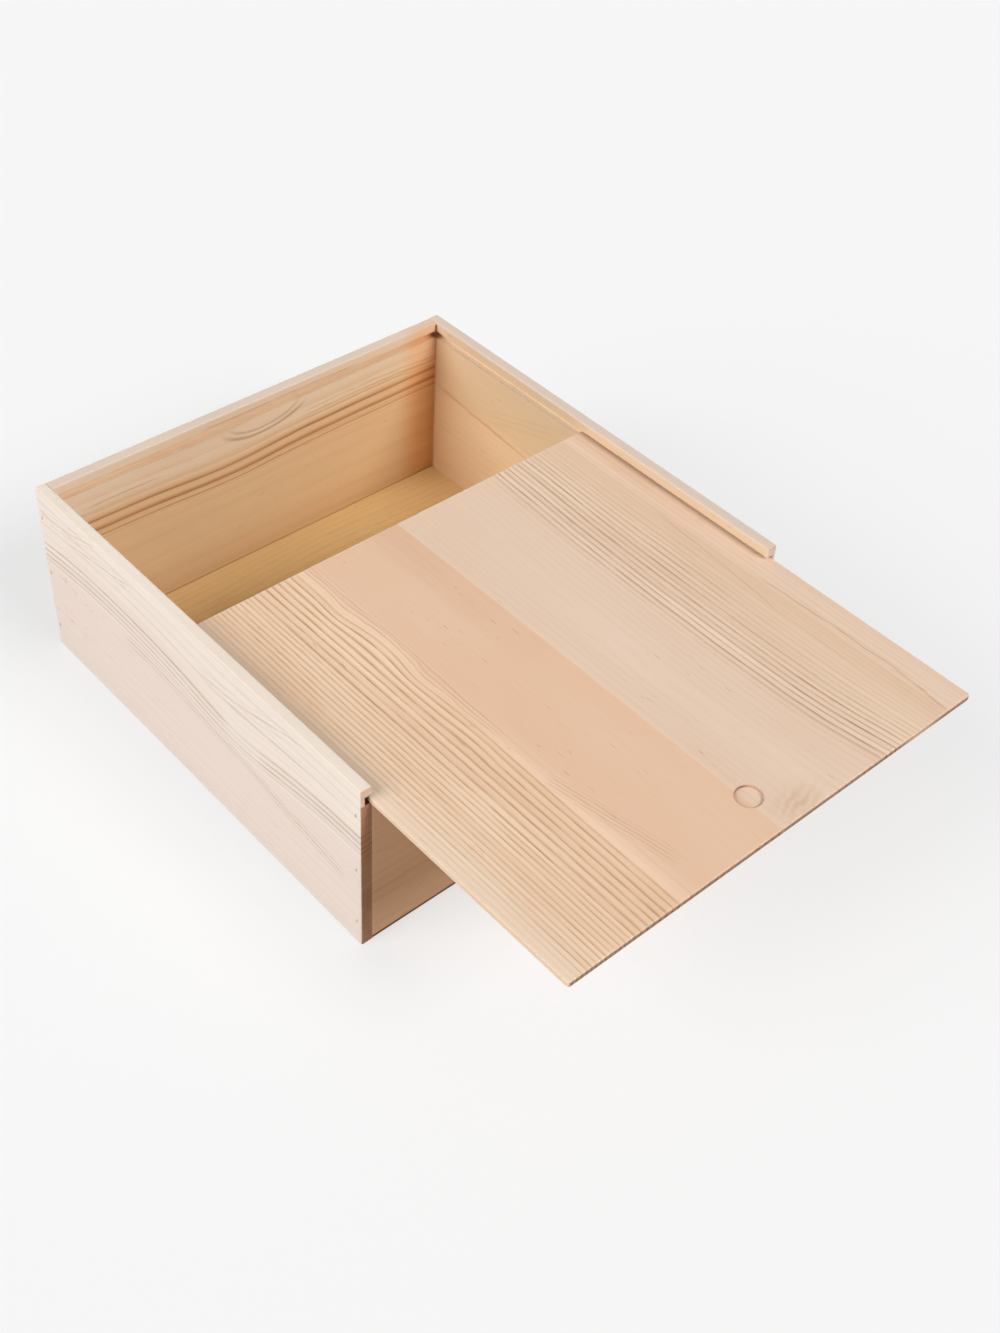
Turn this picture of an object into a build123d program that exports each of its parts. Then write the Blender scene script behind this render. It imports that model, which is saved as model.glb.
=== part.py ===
from build123d import *
import os

os.makedirs("parts", exist_ok=True)

# Square pine gift box whose lid slides out of the front. The walls are butted at the corners,
# glued and held with brads, a plywood floor is glued into a rebate round the bottom, and the lid
# is two pine boards glued edge to edge. The lid stands about half pulled out.
# Millimetres. The origin is the middle of the underside, +X right, +Y back, +Z up.

# Box
box_width = 250.0  # outside, left to right
box_depth = 250.0  # outside, front to back
box_height = 100.0  # underside to rim
wall_thickness = 6.0  # pine board of all four walls
edge_ease = 0.6  # sanded rounding of the outer edges and the rim

# Grooves that the lid runs in
rim_height = 5.0  # wood left above the grooves
groove_depth = 3.6  # cut into the sides and the back wall

# Floor
floor_thickness = 3.0  # plywood, flush with the underside of the walls
rebate_depth = 3.0  # ledge in the walls that the floor is glued into
floor_clearance = 0.2  # round the floor's edge, inside the rebate

# Lid
lid_thickness = 3.0
lid_play = 1.35  # above the lid in its grooves
lid_run = 0.15  # under the lid in its grooves
lid_side_clearance = 1.4  # between the lid's long edges and the grooves' bottoms, midway in its play
lid_offset = 1.0  # to the right, as the lid lies in that play
lid_end_clearance = 0.5  # behind the shut lid, in the back wall's groove
lid_pull = 118.0  # how far the lid is slid out of the shut box
lid_joint_offset = -2.0  # glue line between the two boards, from the lid's centre line
lid_corner_radius = 1.5  # outer corners, seen from above
lid_edge_ease = 0.4
front_clearance = 0.3  # between the front wall's top and the grooves' lower faces

# Finger recess in the lid's top, across the glue line
recess_diameter = 12.5
recess_depth = 1.2
recess_setback = 21.0  # its centre, from the lid's front edge

# Brads, flat wire with a T head, driven through the sides into the end grain of the walls
brad_thickness = 1.0
brad_width = 1.25
brad_length = 18.0
brad_head_width = 2.0
brad_head_depth = 0.8
brad_sink = 0.1  # the heads lie this far under the wood
brad_rows = 3  # up each corner
brad_top_margin = 7.0  # from the front wall's top to the highest row
brad_bottom_margin = 14.0  # from the underside to the lowest row

# Faces that the pieces share
outer_x = box_width / 2
outer_y = box_depth / 2
inner_x = outer_x - wall_thickness
inner_y = outer_y - wall_thickness
groove_x = inner_x + groove_depth
groove_y = inner_y + groove_depth
rebate_x = inner_x + rebate_depth
rebate_y = inner_y + rebate_depth
groove_top = box_height - rim_height
groove_bottom = groove_top - lid_play - lid_thickness - lid_run
front_top = groove_bottom - front_clearance

# Lid at its place, slid out
lid_half_width = groove_x - lid_side_clearance
lid_left = lid_offset - lid_half_width
lid_right = lid_offset + lid_half_width
lid_joint = lid_offset + lid_joint_offset
lid_bottom = groove_bottom + lid_run
lid_top = lid_bottom + lid_thickness
lid_front = -outer_y - lid_pull  # flush with the front wall when the box is shut
lid_back = groove_y - lid_end_clearance - lid_pull
recess_y = lid_front + recess_setback

# Brads at their places
brad_y = outer_y - wall_thickness / 2  # middle of the front and back walls
brad_pitch = (front_top - brad_top_margin - brad_bottom_margin) / (brad_rows - 1)
brad_heights = [brad_bottom_margin + row * brad_pitch for row in range(brad_rows)]
brad_head_x = outer_x - brad_sink
brad_neck_x = brad_head_x - brad_head_depth
brad_tip_x = brad_head_x - brad_length


def brad_section(wall_y, width, x):
    """Sections of one corner's brads, cut across at x."""
    with BuildSketch(Plane.YZ.offset(x)) as section:
        with Locations(*[(wall_y, height) for height in brad_heights]):
            Rectangle(brad_thickness, width)
    return section.sketch


# Left side: full depth, grooved from end to end for the lid, rebated for the floor
with BuildPart() as left_side:
    with BuildSketch(Plane.XZ.offset(outer_y)):
        with BuildLine():
            Polyline(
                (-outer_x, 0),
                (-inner_x, 0),
                (-inner_x, groove_bottom),
                (-groove_x, groove_bottom),
                (-groove_x, groove_top),
                (-inner_x, groove_top),
                (-inner_x, box_height),
                (-outer_x, box_height),
                close=True,
            )
        make_face()
    extrude(amount=-box_depth)
    outer_edges = left_side.faces().sort_by(Axis.X)[0].edges()
    rim_edge = left_side.edges().filter_by(Axis.Y).group_by(Axis.Z)[-1].sort_by(Axis.X)[-1]
    fillet(outer_edges + [rim_edge], radius=edge_ease)
    with BuildSketch(Plane.XY):
        Rectangle(2 * rebate_x, 2 * rebate_y)
    extrude(amount=floor_thickness, mode=Mode.SUBTRACT)
    for wall_y in (-brad_y, brad_y):
        head_pits = brad_section(wall_y, brad_head_width, -outer_x)
        extrude(head_pits, amount=outer_x - brad_neck_x, mode=Mode.SUBTRACT)
        shank_holes = brad_section(wall_y, brad_width, -outer_x)
        extrude(shank_holes, amount=wall_thickness, mode=Mode.SUBTRACT)
left_side.part.label = "left_side"
export_step(left_side.part, "parts/left_side.step")

# Right side: the left side's mirror image
with BuildPart() as right_side:
    mirror(left_side.part, about=Plane.YZ)
right_side.part.label = "right_side"
export_step(right_side.part, "parts/right_side.step")

# Front wall: between the sides, low enough for the lid to pass over it
with BuildPart() as front_wall:
    with BuildSketch(Plane.YZ.offset(-inner_x)):
        with BuildLine():
            Polyline(
                (-outer_y, 0),
                (-rebate_y, 0),
                (-rebate_y, floor_thickness),
                (-inner_y, floor_thickness),
                (-inner_y, front_top),
                (-outer_y, front_top),
                close=True,
            )
        make_face()
    extrude(amount=2 * inner_x)
    long_edges = front_wall.edges().filter_by(Axis.X)
    rim_edge = long_edges.group_by(Axis.Z)[-1].sort_by(Axis.Y)[-1]
    fillet(long_edges.group_by(Axis.Y)[0] + [rim_edge], radius=edge_ease)
    for end_x, inward in ((-inner_x, 1), (inner_x, -1)):
        brad_holes = brad_section(-brad_y, brad_width, end_x)
        extrude(brad_holes, amount=inward * (inner_x - brad_tip_x), mode=Mode.SUBTRACT)
front_wall.part.label = "front_wall"
export_step(front_wall.part, "parts/front_wall.step")

# Back wall: between the sides and as high as them, grooved for the lid's back edge
with BuildPart() as back_wall:
    with BuildSketch(Plane.YZ.offset(-inner_x)):
        with BuildLine():
            Polyline(
                (outer_y, 0),
                (rebate_y, 0),
                (rebate_y, floor_thickness),
                (inner_y, floor_thickness),
                (inner_y, groove_bottom),
                (groove_y, groove_bottom),
                (groove_y, groove_top),
                (inner_y, groove_top),
                (inner_y, box_height),
                (outer_y, box_height),
                close=True,
            )
        make_face()
    extrude(amount=2 * inner_x)
    long_edges = back_wall.edges().filter_by(Axis.X)
    rim_edge = long_edges.group_by(Axis.Z)[-1].sort_by(Axis.Y)[0]
    fillet(long_edges.group_by(Axis.Y)[-1] + [rim_edge], radius=edge_ease)
    for end_x, inward in ((-inner_x, 1), (inner_x, -1)):
        brad_holes = brad_section(brad_y, brad_width, end_x)
        extrude(brad_holes, amount=inward * (inner_x - brad_tip_x), mode=Mode.SUBTRACT)
back_wall.part.label = "back_wall"
export_step(back_wall.part, "parts/back_wall.step")

# Floor: one plywood panel that fills the rebate
with BuildPart() as floor_panel:
    with BuildSketch(Plane.XY):
        Rectangle(2 * (rebate_x - floor_clearance), 2 * (rebate_y - floor_clearance))
    extrude(amount=floor_thickness)
floor_panel.part.label = "floor_panel"
export_step(floor_panel.part, "parts/floor_panel.step")

# Lid boards: each runs from the glue line to its own long edge and holds its share of the recess
for name, edge_x in (("lid_board_left", lid_left), ("lid_board_right", lid_right)):
    with BuildPart() as lid_board:
        with BuildSketch(Plane.XY.offset(lid_bottom)) as outline:
            with Locations(((edge_x + lid_joint) / 2, (lid_front + lid_back) / 2)):
                Rectangle(abs(edge_x - lid_joint), lid_back - lid_front)
            corners = outline.vertices().sort_by_distance((edge_x, outline.sketch.center().Y))[:2]
            fillet(corners, radius=lid_corner_radius)
        extrude(amount=lid_thickness)
        flat_faces = lid_board.faces().sort_by(Axis.Z)
        rims = flat_faces[0].edges() + flat_faces[-1].edges()
        glue_edges = rims.filter_by_position(Axis.X, lid_joint, lid_joint)
        fillet(rims - glue_edges, radius=lid_edge_ease)
        with BuildSketch(Plane.XY.offset(lid_top)):
            with Locations((lid_offset, recess_y)):
                Circle(recess_diameter / 2)
        extrude(amount=-recess_depth, mode=Mode.SUBTRACT)
    lid_board.part.label = name
    export_step(lid_board.part, f"parts/{name}.step")

# Brads, in a group for the front corners and a group for the back corners
for name, wall_y in (("front_corner_brads", -brad_y), ("back_corner_brads", brad_y)):
    with BuildPart() as brads:
        for side in (-1, 1):
            heads = brad_section(wall_y, brad_head_width, side * brad_head_x)
            extrude(heads, amount=-side * brad_head_depth)
            shanks = brad_section(wall_y, brad_width, side * brad_neck_x)
            extrude(shanks, amount=-side * (brad_neck_x - brad_tip_x))
    brads.part.label = name
    export_step(brads.part, f"parts/{name}.step")
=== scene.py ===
import bmesh
import bpy
import math
from mathutils import Euler, Matrix, Vector


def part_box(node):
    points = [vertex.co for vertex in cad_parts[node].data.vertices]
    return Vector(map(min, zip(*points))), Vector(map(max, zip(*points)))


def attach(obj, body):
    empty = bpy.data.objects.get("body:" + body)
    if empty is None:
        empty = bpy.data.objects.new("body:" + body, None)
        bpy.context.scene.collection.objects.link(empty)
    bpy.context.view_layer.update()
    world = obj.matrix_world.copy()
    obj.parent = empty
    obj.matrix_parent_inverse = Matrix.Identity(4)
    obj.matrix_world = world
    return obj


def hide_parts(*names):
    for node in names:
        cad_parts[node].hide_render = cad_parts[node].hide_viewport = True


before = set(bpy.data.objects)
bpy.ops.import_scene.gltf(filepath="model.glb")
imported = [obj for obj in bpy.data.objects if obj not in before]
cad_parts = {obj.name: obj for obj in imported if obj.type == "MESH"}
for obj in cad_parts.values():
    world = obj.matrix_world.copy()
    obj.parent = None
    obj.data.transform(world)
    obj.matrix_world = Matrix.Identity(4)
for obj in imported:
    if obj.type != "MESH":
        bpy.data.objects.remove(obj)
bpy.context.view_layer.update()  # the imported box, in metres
print("frame loaded:", len(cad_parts), "nodes")

mm = 0.001


def tone(red, green, blue):  # a colour as seen on a screen, 0 to 255, made linear
    lin = [c / 255 for c in (red, green, blue)]
    return tuple(c / 12.92 if c < 0.0404 else ((c + 0.055) / 1.055) ** 2.4 for c in lin) + (1.0,)


# Camera: the photograph's place and angle, worked out for a frame of 1000 x 1333
cameraSet = {
    "place": (-408.8, -492.6, 616.6),
    "target": (10.9, -60.3, 40.0),
    "rollDegrees": 3.89,
    "focalPixels": 1725.9,
    "frameHeight": 1333,
    "sensor": 36.0,
    "clip": (0.01, 50.0),
}


def addCamera(s):
    place, target = (Vector(s[k]) * mm for k in ("place", "target"))
    camData = bpy.data.cameras.new("photoCamera")
    camData.sensor_width = s["sensor"]
    camData.lens = s["sensor"] * s["focalPixels"] / s["frameHeight"]
    camData.clip_start, camData.clip_end = s["clip"]
    cam = bpy.data.objects.new("photoCamera", camData)
    bpy.context.scene.collection.objects.link(cam)
    aim = (target - place).to_track_quat("-Z", "Y").to_matrix()
    turn = aim @ Matrix.Rotation(math.radians(s["rollDegrees"]), 3, "Z")
    cam.matrix_world = Matrix.Translation(place) @ turn.to_4x4()
    bpy.context.scene.camera = cam


addCamera(cameraSet)
print("camera set")


# Small tools for modelling by hand
meshSet = {
    "weld": 0.00001,  # metres between points that are joined
    "flat": 0.01,  # radians between faces that become one
    "smoothDegrees": 40,
    "near": 0.05,  # millimetres between places that count as the same
    "straight": 0.9,  # share of a direction that must lie along an axis
}


def enter(mode):
    bpy.ops.object.mode_set(mode=mode)


def clearSelection():
    if bpy.context.object and bpy.context.object.mode != "OBJECT":
        enter("OBJECT")
    bpy.ops.object.select_all(action="DESELECT")


def makeActive(piece):
    clearSelection()
    piece.select_set(True)
    bpy.context.view_layer.objects.active = piece


def settle(piece, name):  # name it and put its place into its mesh
    piece.name = piece.data.name = name
    bpy.ops.object.transform_apply(location=True, rotation=True, scale=True)
    return piece


def startBlock(name, low, high):  # corners in millimetres
    clearSelection()
    low, high = Vector(low) * mm, Vector(high) * mm
    bpy.ops.mesh.primitive_cube_add(size=1, location=(low + high) / 2)
    bpy.context.object.scale = high - low
    return settle(bpy.context.object, name)


def joinAll(parts, name):
    makeActive(parts[0])
    for part in parts:
        part.select_set(True)
    bpy.ops.object.join()
    return settle(parts[0], name)


def pick(kind, test):  # in edit mode, select edges or faces by their middle and direction
    bpy.ops.mesh.select_mode(type=kind)
    bpy.ops.mesh.select_all(action="DESELECT")
    mesh = bpy.context.object.data
    work = bmesh.from_edit_mesh(mesh)
    for part in work.edges if kind == "EDGE" else work.faces:
        points = [v.co / mm for v in part.verts]
        middle = sum(points, Vector()) / len(points)
        course = (points[1] - points[0]).normalized() if kind == "EDGE" else part.normal
        part.select_set(bool(test(middle, course)))
    bmesh.update_edit_mesh(mesh)


def near(a, b, slack=meshSet["near"]):
    return abs(a - b) < slack


def along(part):  # of a direction, whichever way it points
    return abs(part) > meshSet["straight"]


def slideOut(*shift):  # extrude what is picked, in millimetres
    bpy.ops.mesh.extrude_region_move(TRANSFORM_OT_translate={"value": [c * mm for c in shift]})


def cutAcross(x):  # in edit mode, new edges round the whole mesh
    bpy.ops.mesh.select_all(action="SELECT")
    bpy.ops.mesh.bisect(plane_co=(x * mm, 0, 0), plane_no=(1, 0, 0))


def weld():  # in edit mode, join doubled points and turn the faces outwards
    bpy.ops.mesh.select_all(action="SELECT")
    bpy.ops.mesh.remove_doubles(threshold=meshSet["weld"])
    bpy.ops.mesh.normals_make_consistent(inside=False)


def ease(piece, test, width, steps=3):  # round the picked edges
    makeActive(piece)
    enter("EDIT")
    pick("EDGE", test)
    bpy.ops.mesh.bevel(offset=width * mm, segments=steps, profile=0.5, affect="EDGES")
    enter("OBJECT")


def carve(piece, cutter):  # take the cutter's shape out of the piece
    makeActive(piece)
    cut = piece.modifiers.new("cut", "BOOLEAN")
    cut.operation, cut.solver, cut.object = "DIFFERENCE", "EXACT", cutter
    bpy.ops.object.modifier_apply(modifier="cut")
    bpy.data.objects.remove(cutter)


def finishMesh(piece):  # flat faces stay flat beside their rounded edges
    makeActive(piece)
    enter("EDIT")
    weld()
    enter("OBJECT")
    bpy.ops.object.shade_smooth_by_angle(angle=math.radians(meshSet["smoothDegrees"]))
    even = piece.modifiers.new("even", "WEIGHTED_NORMAL")
    even.keep_sharp = True
    bpy.ops.object.modifier_apply(modifier="even")
    return piece


def dress(piece, node, body, slotName, material):
    piece.data.materials.clear()
    piece.data.materials.append(material)
    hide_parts(node)
    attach(piece, body)
    print("made", piece.name, len(piece.data.polygons), "faces")


# Node tools. A new node goes into the tree that its sockets come from

def feed(socket, value):
    if isinstance(value, bpy.types.NodeSocket):
        socket.id_data.links.new(value, socket)
    else:
        socket.default_value = value


def feedAll(sockets, values):
    for socket, value in zip(sockets, values):
        feed(socket, value)


def feedNamed(sockets, values):
    feedAll([sockets[label] for label in values], values.values())


def addNode(kind, values, **choices):
    tree = next(v.id_data for v in values if isinstance(v, bpy.types.NodeSocket))
    node = tree.nodes.new("ShaderNode" + kind)
    for label, choice in choices.items():
        setattr(node, label, choice)
    return node


def addFed(kind, values, **choices):
    node = addNode(kind, values, **choices)
    feedAll(node.inputs, values)
    return node.outputs


def calc(operation, *values):
    return addFed("Math", values, operation=operation)[0]


def times(a, b):
    return calc("MULTIPLY", a, b)


def timesPlus(a, b, c):
    return calc("MULTIPLY_ADD", a, b, c)


def minus(a, b):
    return calc("SUBTRACT", a, b)


def absolute(value):
    return calc("ABSOLUTE", value)


def centred(value):  # noise from 0 to 1, moved to lie round 0
    return minus(value, 0.5)


def vecCalc(operation, *values):
    plain = operation in ("LENGTH", "DOT_PRODUCT")
    return addFed("VectorMath", values, operation=operation)["Value" if plain else "Vector"]


def apart(a, b):  # the way from b to a
    return vecCalc("SUBTRACT", a, b)


def swing(value, low, high, toLow=0.0, toHigh=1.0, kind="SMOOTHSTEP"):  # one range to another
    return addFed("MapRange", (value, low, high, toLow, toHigh), interpolation_type=kind)[0]


def fallOff(value, low, high, top=1.0):
    return swing(value, low, high, top, 0.0)


def noise(vector, detail=2.0, rough=0.5, out="Fac"):
    node = addNode("TexNoise", [vector])
    feedNamed(node.inputs, {"Vector": vector, "Scale": 1.0, "Detail": detail, "Roughness": rough})
    return node.outputs[out]


def blend(share, a, b, kind="MIX"):
    node = addNode("Mix", (share, a, b), data_type="RGBA", blend_type=kind)
    feedAll([node.inputs[index] for index in (0, 6, 7)], (share, a, b))
    return node.outputs[2]


def split(vector):
    return addFed("SeparateXYZ", [vector])


def join(*parts):
    return addFed("CombineXYZ", parts)[0]


def startGroup(name, gives, vectors, numbers=""):  # socket names in one string each
    tree = bpy.data.node_groups.new(name, "ShaderNodeTree")
    for way, labels in (("OUTPUT", gives), ("INPUT", vectors), ("INPUT", numbers)):
        for label in labels.split():
            kind = "Vector" if labels == vectors or label == "Vector" else "Float"
            tree.interface.new_socket(label, in_out=way, socket_type="NodeSocket" + kind)
    return tree.nodes.new("NodeGroupInput").outputs, tree.nodes.new("NodeGroupOutput").inputs


def giveBack(result, **values):
    feedNamed(result, values)
    return result[0].id_data


def useGroup(group, **values):
    node = addNode("Group", values.values(), node_tree=group)
    feedNamed(node.inputs, values)
    return node.outputs


# Node groups for wood. Their lengths are millimetres, but for softBox, roundShade and boardEnds
zero, flat = (0, 0, 0), (1, 1, 0)


def seedShift(seed, way):  # another part of the noise for each board
    return vecCalc("MULTIPLY", join(seed, seed, seed), way)


def drawnOut(vector, spot, seed):  # where to read noise for spots of that size
    return vecCalc("MULTIPLY_ADD", vector, tuple(1 / length for length in spot), seed)


def awayFrom(given):  # place round a centre, as a share of the reach
    return vecCalc("DIVIDE", apart(given["Vector"], given["Centre"]), given["Reach"])


def fadeOut(away):
    return calc("EXPONENT", times(vecCalc("DOT_PRODUCT", away, away), -1.0))


# Growth rings round a pith that lies on the X axis
ringSet = {
    "seedWay": (3.7, 11.3, 7.9),
    "drift": (170, 55, 55),  # size of the slow wander
    "ripple": (38, 8, 8),  # and of the quick one
    "yearStep": 0.55,
    "rise": (0.35, 0.9),  # share of a ring where the late wood sets in
    "fall": (0.93, 1.0),
}


def makeGrowthRings(s):
    given, result = startGroup("growthRings", "Late Radius RingTone", "Vector",
                               "RingWidth OuterWidth ChangeRadius Wander Ripple Uneven Sharp Seed")
    seed = seedShift(given["Seed"], s["seedWay"])
    drift = noise(drawnOut(given["Vector"], s["drift"], seed), 1.0, 0.4, "Color")
    push = times(given["Wander"], 2.0)
    drift = apart(drift, (0.5, 0.5, 0.5))
    moved = vecCalc("MULTIPLY_ADD", drift, join(0.0, push, push), given["Vector"])
    _, across, through = split(moved)
    jitter = centred(noise(drawnOut(given["Vector"], s["ripple"], seed)))
    span = calc("SQRT", calc("ADD", times(across, across), times(through, through)))
    radius = timesPlus(jitter, times(given["Ripple"], 2.0), span)
    inner = calc("DIVIDE", calc("MINIMUM", radius, given["ChangeRadius"]), given["RingWidth"])
    past = calc("MAXIMUM", minus(radius, given["ChangeRadius"]), 0.0)
    count = calc("ADD", inner, calc("DIVIDE", past, given["OuterWidth"]))
    step = timesPlus(count, s["yearStep"], given["Seed"])
    years = centred(noise(join(step, given["Seed"], 0.0), 1.0))
    count = timesPlus(years, given["Uneven"], count)
    phase = calc("FRACT", count)
    rise = calc("POWER", swing(phase, *s["rise"]), given["Sharp"])
    fall = fallOff(phase, *s["fall"])
    year = calc("ADD", calc("FLOOR", count), given["Seed"])
    dice = addNode("TexWhiteNoise", [year], noise_dimensions="1D")
    feed(dice.inputs["W"], year)
    late = times(rise, fall)
    return giveBack(result, Late=late, Radius=radius, RingTone=dice.outputs["Value"])


# A soft push of the grain to one side, as round a knot that lies deeper in the wood
def makeGrainBend():
    given, result = startGroup("grainBend", "Vector", "Vector Centre Reach", "Amount")
    shift = times(fadeOut(awayFrom(given)), given["Amount"])
    return giveBack(result, Vector=vecCalc("ADD", given["Vector"], join(0.0, shift, 0.0)))


# The lower arcs of an oval, where a ring just breaks through the board's face
ovalSet = {
    "arcs": ((1.0, 0.1, 1.0), (0.8, 0.08, 0.6)),  # radius, width and share, of the oval's reach
    "ends": (0.55, 1.0),
    "lower": (-0.6, -0.1),
}


def makeOvalFigure(s):
    given, result = startGroup("ovalFigure", "Line", "Vector Centre Reach")
    away = awayFrom(given)
    lengthwise, across, _ = split(away)
    far = vecCalc("LENGTH", away)
    outer, inner = (fallOff(absolute(minus(far, radius)), 0.0, width, share)
                    for radius, width, share in s["arcs"])
    ends = fallOff(absolute(lengthwise), *s["ends"])
    lower = fallOff(across, *s["lower"])
    line = times(calc("MAXIMUM", outer, inner), times(ends, lower))
    return giveBack(result, Line=line)


# Curled lines that fade out from one spot
featherSet = {"curlScale": (0.09, 0.12, 0.0), "curl": 9.0, "slant": 0.3, "faint": 0.35}


def makeFeather(s):
    given, result = startGroup("featherFigure", "Line", "Vector Centre Reach", "Pitch")
    fade = fadeOut(awayFrom(given))
    away = apart(given["Vector"], given["Centre"])
    curl = noise(vecCalc("MULTIPLY", away, s["curlScale"]))
    lengthwise, across, _ = split(away)
    slant = timesPlus(across, s["slant"], timesPlus(curl, s["curl"], lengthwise))
    wave = calc("SINE", calc("DIVIDE", times(slant, 2 * math.pi), given["Pitch"]))
    return giveBack(result, Line=times(swing(wave, -1.0, 1.0, s["faint"], 1.0), fade))


# A bundle of fine lines from one point to another, where grain runs off at its own angle
bundleSet = {"shake": (1 / 20, 1 / 7, 0), "core": 0.4, "fade": 6.0}


def makeLineBundle(s):
    given, result = startGroup("lineBundle", "Line", "Vector From To", "Half Pitch Width Ripple")

    def fromStart(point):  # on the board's face
        return vecCalc("MULTIPLY", apart(point, given["From"]), flat)

    away, whole = fromStart(given["Vector"]), fromStart(given["To"])
    course = vecCalc("NORMALIZE", whole)
    run = vecCalc("DOT_PRODUCT", away, course)
    past = minus(run, vecCalc("LENGTH", whole))
    shake = centred(noise(vecCalc("MULTIPLY", given["Vector"], s["shake"])))
    off = split(vecCalc("CROSS_PRODUCT", course, away))[2]
    off = timesPlus(shake, times(given["Ripple"], 2.0), off)
    gap = calc("PINGPONG", off, calc("DIVIDE", given["Pitch"], 2.0))
    line = fallOff(gap, 0.0, given["Width"])
    body = fallOff(absolute(off), times(given["Half"], s["core"]), given["Half"])
    start = swing(run, -s["fade"], s["fade"])
    end = fallOff(past, -s["fade"], s["fade"])
    return giveBack(result, Line=times(times(start, end), times(line, body)))


# A soft-edged box, for stained and pale places, and for painted light and shade
def makeSoftBox():
    given, result = startGroup("softBox", "Mask", "Vector Low High", "Soft")
    under = apart(given["Low"], given["Vector"])
    over = apart(given["Vector"], given["High"])
    outside = vecCalc("MAXIMUM", vecCalc("MAXIMUM", under, over), zero)
    far = vecCalc("LENGTH", outside)
    return giveBack(result, Mask=fallOff(far, 0.0, given["Soft"]))


# A round line that fades towards -Y, on one face only: painted shade round the rim of a hole
roundShadeSet = {"deep": (1.5 * mm, 2.5 * mm), "front": (-0.95, -0.3), "faint": 0.1}


def makeRoundShade(s):
    given, result = startGroup("roundShade", "Line", "Vector Centre", "Radius Width")
    gap = apart(given["Vector"], given["Centre"])
    away = vecCalc("MULTIPLY", gap, flat)
    off = minus(vecCalc("LENGTH", away), given["Radius"])
    line = fallOff(absolute(off), 0.0, given["Width"])
    front = calc("DIVIDE", split(away)[1], given["Radius"])
    onFace = fallOff(absolute(split(gap)[2]), *s["deep"])
    shown = times(onFace, swing(front, *s["front"], s["faint"], 1.0))
    return giveBack(result, Line=times(line, shown))


# Fibres, streaks, broad mottling and resin flecks, all drawn out along the grain
fibreSet = {
    "seedWay": (5.1, 2.3, 9.7),
    "spots": {  # length, width, detail, roughness, and the range that is spread to 0 and 1
        "Fibre": (26, 0.5, 3.0, 0.65, (0.25, 0.75, "LINEAR")),
        "Streak": (120, 3.4, 2.0, 0.5, (0.25, 0.75, "LINEAR")),
        "Mottle": (95, 30, 1.5, 0.5, (0.3, 0.7, "LINEAR")),
        "Patch": (70, 9, 1.0, 0.5, None),
        "Dash": (13, 0.8, 2.0, 0.6, (0.32, 0.62, "SMOOTHSTEP")),
        "Fleck": (9, 0.75, 1.0, 0.5, (0.68, 0.78, "SMOOTHSTEP")),
    },
    "fleckPlace": (60, 14, 1.0, 0.5, (0.5, 0.62, "SMOOTHSTEP")),
}


def makeFibres(s):
    given, result = startGroup("woodFibres", " ".join(s["spots"]), "Vector", "Seed")
    seed = seedShift(given["Seed"], s["seedWay"])

    def spots(length, width, detail, rough, spread):
        cloud = noise(drawnOut(given["Vector"], (length, width, width), seed), detail, rough)
        return swing(cloud, *spread[:2], kind=spread[2]) if spread else cloud

    drawn = {label: spots(*spot) for label, spot in s["spots"].items()}
    drawn["Fleck"] = times(drawn["Fleck"], spots(*s["fleckPlace"]))
    return giveBack(result, **drawn)


# How far a face is turned across the grain, and how near it lies to the board's own edges
endSet = {"turned": (0.6, 0.95), "reach": 0.0015}


def makeBoardEnds(s):
    given, result = startGroup("boardEnds", "EndGrain Edge", "Normal Grain Vector Low High")
    facing = absolute(vecCalc("DOT_PRODUCT", given["Normal"], given["Grain"]))
    depth = vecCalc("MINIMUM", apart(given["Vector"], given["Low"]), apart(given["High"], given["Vector"]))
    x, y, z = split(depth)
    least, most, total = (calc(way, x, calc(way, y, z)) for way in ("MINIMUM", "MAXIMUM", "ADD"))
    second = minus(minus(total, least), most)
    edge = fallOff(second, 0.0, s["reach"])
    return giveBack(result, EndGrain=swing(facing, *s["turned"]), Edge=edge)


growthRings = makeGrowthRings(ringSet)
grainBend = makeGrainBend()
ovalFigure = makeOvalFigure(ovalSet)
featherFigure = makeFeather(featherSet)
lineBundle = makeLineBundle(bundleSet)
softBox = makeSoftBox()
roundShade = makeRoundShade(roundShadeSet)
woodFibres = makeFibres(fibreSet)
boardEnds = makeBoardEnds(endSet)
print("node groups made")

# Board space: X along the grain, Y across the board's face, Z through its thickness
boardTurns = {
    "lid": Matrix(((0, -1, 0), (1, 0, 0), (0, 0, 1))),
    "side": Matrix(((0, 1, 0), (0, 0, 1), (1, 0, 0))),
    "wall": Matrix(((1, 0, 0), (0, 0, 1), (0, -1, 0))),
}
rampReach = 160.0  # millimetres from the pith that the colour ramps cover
throughBoard = (1000.0,)  # a figure's reach in Z


def startMaterial(name):
    mat = bpy.data.materials.new(name)
    mat.use_nodes = True
    nodes = mat.node_tree.nodes
    nodes.clear()
    out, shader = nodes.new("ShaderNodeOutputMaterial"), nodes.new("ShaderNodeBsdfPrincipled")
    feed(out.inputs["Surface"], shader.outputs[0])
    return mat, nodes, shader


def toMillimetres(vector, place, turn=zero):
    return addFed("Mapping", (vector, place, turn, (1 / mm,) * 3))[0]


def colourRamp(value, stops):
    share = calc("DIVIDE", value, rampReach)
    node = addNode("ValToRGB", [share])
    ramp = node.color_ramp
    while len(ramp.elements) < len(stops):
        ramp.elements.new(0.5)
    for element, (place, *colour) in zip(ramp.elements, stops):
        element.position, element.color = place / rampReach, tone(*colour)
    feed(node.inputs[0], share)
    return node.outputs[0]


def tint(under, mask, share, shade, kind="MIX"):  # lay a colour over another where the mask is
    return blend(times(mask, share), under, tone(*shade), kind)


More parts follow.
